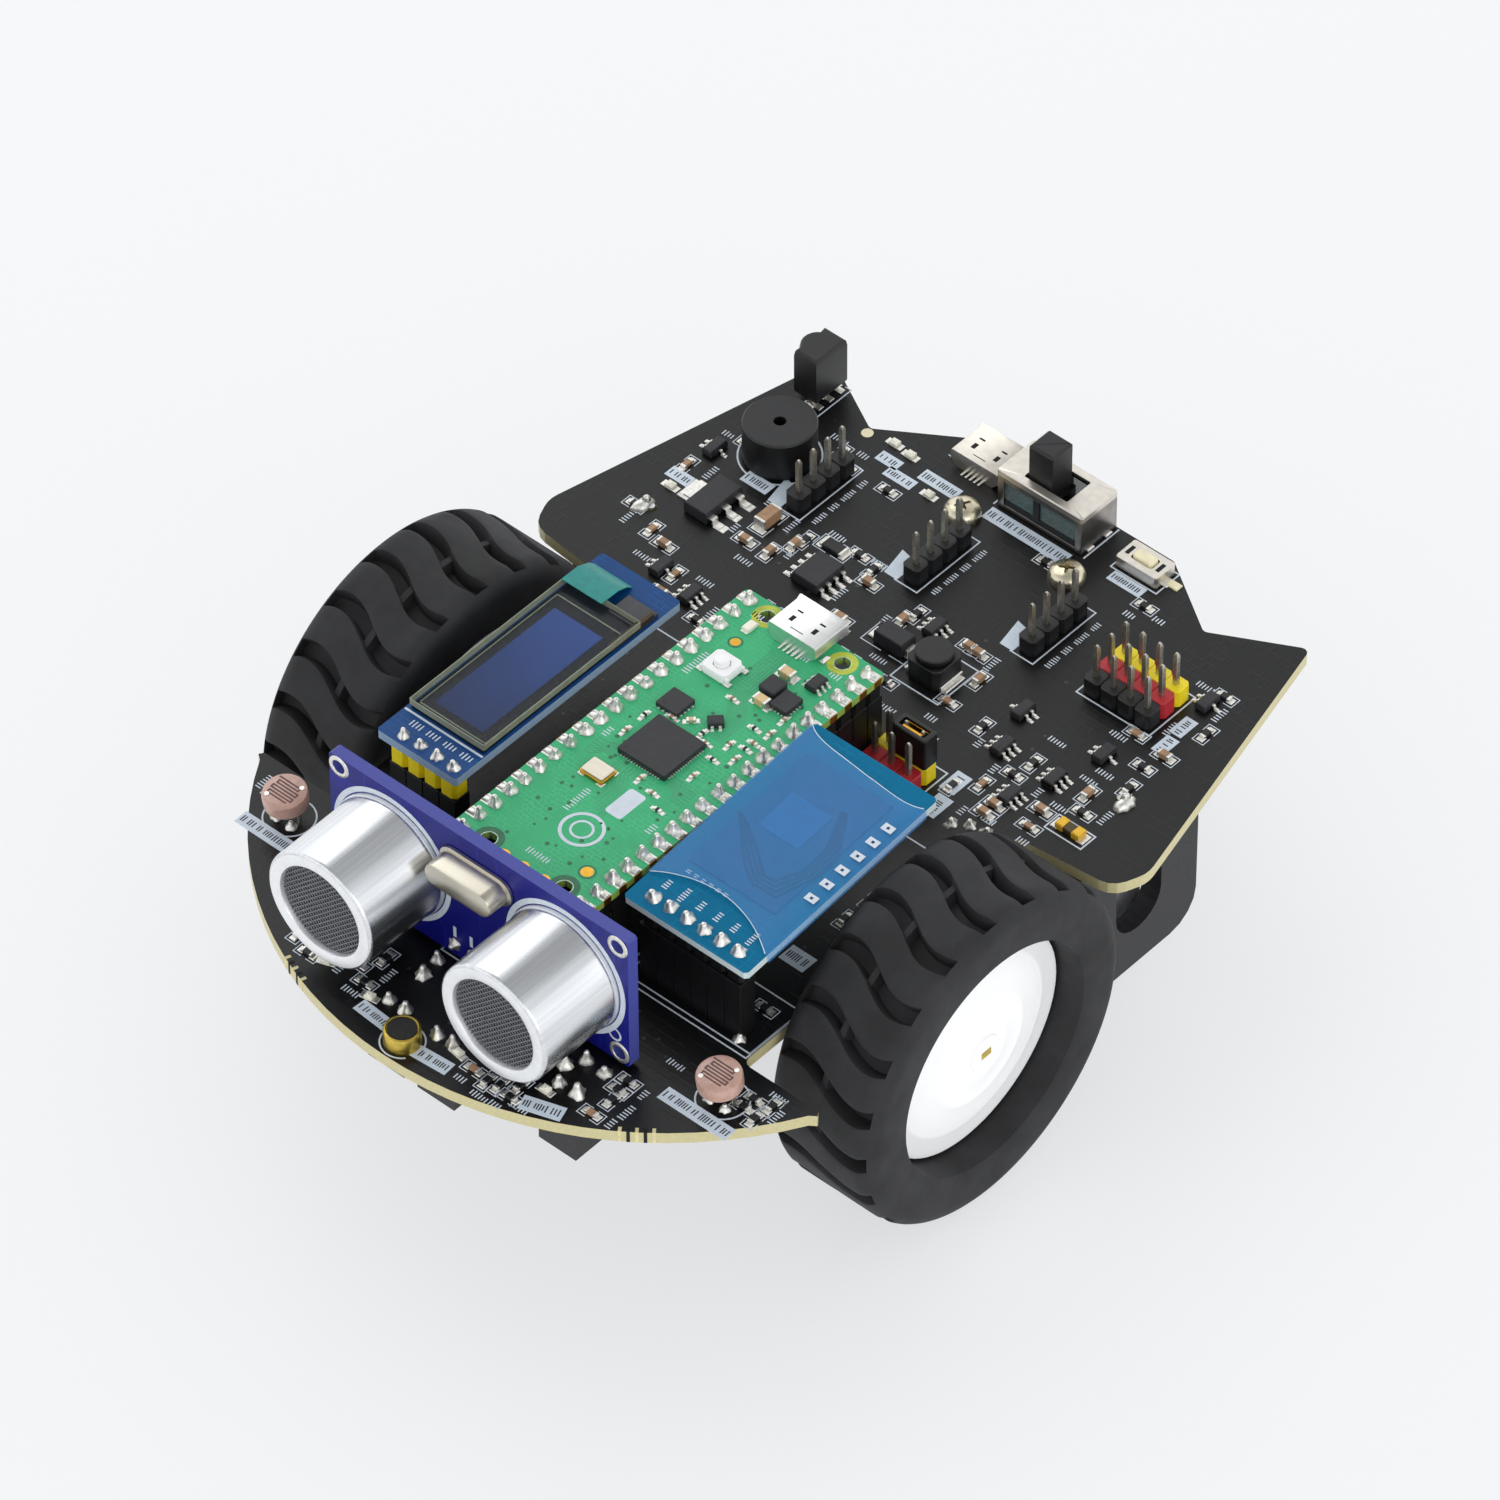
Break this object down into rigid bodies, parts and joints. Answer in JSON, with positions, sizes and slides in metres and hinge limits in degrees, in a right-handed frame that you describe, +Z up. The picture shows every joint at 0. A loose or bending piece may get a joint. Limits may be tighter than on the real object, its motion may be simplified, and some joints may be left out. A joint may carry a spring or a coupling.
{
  "type": "two wheel robot car",
  "caption": "Small programmable robot car on a round-nosed circuit board with geared wheels, ball caster, ultrasonic eyes, display and plug-in modules.",
  "frame": {"origin": "on the ground under the centre of the bounding box", "axes": "+Z up, the car drives towards -Y, +X is the car's left side"},
  "size_m": [0.094, 0.119, 0.0512],
  "materials": {
    "board_black": "satin black solder mask on glass fibre board",
    "board_green": "satin green solder mask",
    "board_blue": "glossy deep blue solder mask",
    "board_display": "glossy mid blue solder mask",
    "board_teal": "teal solder mask under clear film",
    "plastic_black": "moulded black plastic",
    "plastic_yellow": "moulded yellow plastic",
    "plastic_red": "moulded red plastic",
    "plastic_white": "moulded white plastic",
    "plastic_cream": "moulded cream plastic",
    "rubber_tyre": "moulded tread rubber",
    "aluminium": "drawn and satin etched",
    "steel": "tinned or plated sheet",
    "brass": "machined",
    "display_glass": "polished dark panel",
    "ceramic_pink": "resin coated ceramic disc",
    "cell_wrap": "shrink wrapped steel can"
  },
  "bodies": {
    "chassis": {"main_board": "board_black", "controller_board": "board_green", "controller_pins_left": "plastic_black", "controller_pins_right": "plastic_black", "controller_socket_left": "plastic_black", "controller_socket_right": "plastic_black", "controller_usb_port": "steel", "sonar_board": "board_blue", "sonar_can_left": "aluminium", "sonar_can_right": "aluminium", "sonar_crystal": "steel", "sonar_socket": "plastic_black", "display_board": "board_display", "display_glass": "display_glass", "display_spacer": "plastic_yellow", "display_socket": "plastic_black", "wireless_board": "board_teal", "wireless_pins": "plastic_black", "wireless_socket": "plastic_black", "light_sensor_left": "ceramic_pink", "light_sensor_right": "ceramic_pink", "microphone": "brass", "buzzer": "plastic_black", "infrared_receiver": "plastic_black", "charge_port": "steel", "signal_header_1": "plastic_black", "signal_header_2": "plastic_black", "signal_header_3": "plastic_black", "servo_header": "plastic_red", "selector_header": "plastic_red", "jumper_cap": "plastic_black", "power_switch_body": "steel", "user_button_body": "steel", "gearbox_left": "brass", "gearbox_right": "brass", "motor_can_left": "steel", "motor_can_right": "steel", "motor_bracket_left": "plastic_white", "motor_bracket_right": "plastic_white", "battery_holder": "plastic_black", "battery_cell": "cell_wrap", "battery_contact_left": "steel", "battery_contact_right": "steel", "caster_housing": "plastic_black", "caster_screw_left": "steel", "caster_screw_right": "steel", "line_sensor_1": "plastic_black", "line_sensor_2": "plastic_black", "line_sensor_3": "plastic_black", "line_sensor_4": "plastic_black"},
    "left_wheel": {"wheel_shaft_left": "steel", "wheel_hub_left": "plastic_white", "tyre_left": "rubber_tyre"},
    "right_wheel": {"wheel_shaft_right": "steel", "wheel_hub_right": "plastic_white", "tyre_right": "rubber_tyre"},
    "caster_roller": {"caster_ball": "steel"},
    "power_slider": {"power_switch_slider": "plastic_black"},
    "user_button": {"user_button_cap": "plastic_cream"},
    "boot_button_key": {"boot_button": "plastic_white"}
  },
  "joints": [
    {"name": "left_wheel_spin", "type": "hinge", "parent": "chassis", "child": "left_wheel", "pos_m": [0.03925, -0.0089, 0.022], "axis": [1, 0, 0], "continuous": true},
    {"name": "right_wheel_spin", "type": "hinge", "parent": "chassis", "child": "right_wheel", "pos_m": [-0.03925, -0.0089, 0.022], "axis": [1, 0, 0], "continuous": true},
    {"name": "caster_roll", "type": "hinge", "parent": "chassis", "child": "caster_roller", "pos_m": [0, 0.0484, 0.0055], "axis": [1, 0, 0], "continuous": true},
    {"name": "power_switch_slide", "type": "slide", "parent": "chassis", "child": "power_slider", "axis": [1, 0, 0], "range_m": [0, 0.0022]},
    {"name": "user_button_press", "type": "slide", "parent": "chassis", "child": "user_button", "axis": [0, 0, -1], "range_m": [0, 0.00025], "stiffness_N_per_m": 300, "springref_m": -0.0003},
    {"name": "boot_button_press", "type": "slide", "parent": "chassis", "child": "boot_button_key", "axis": [0, 0, -1], "range_m": [0, 0.0002], "stiffness_N_per_m": 300, "springref_m": -0.0003}
  ]
}
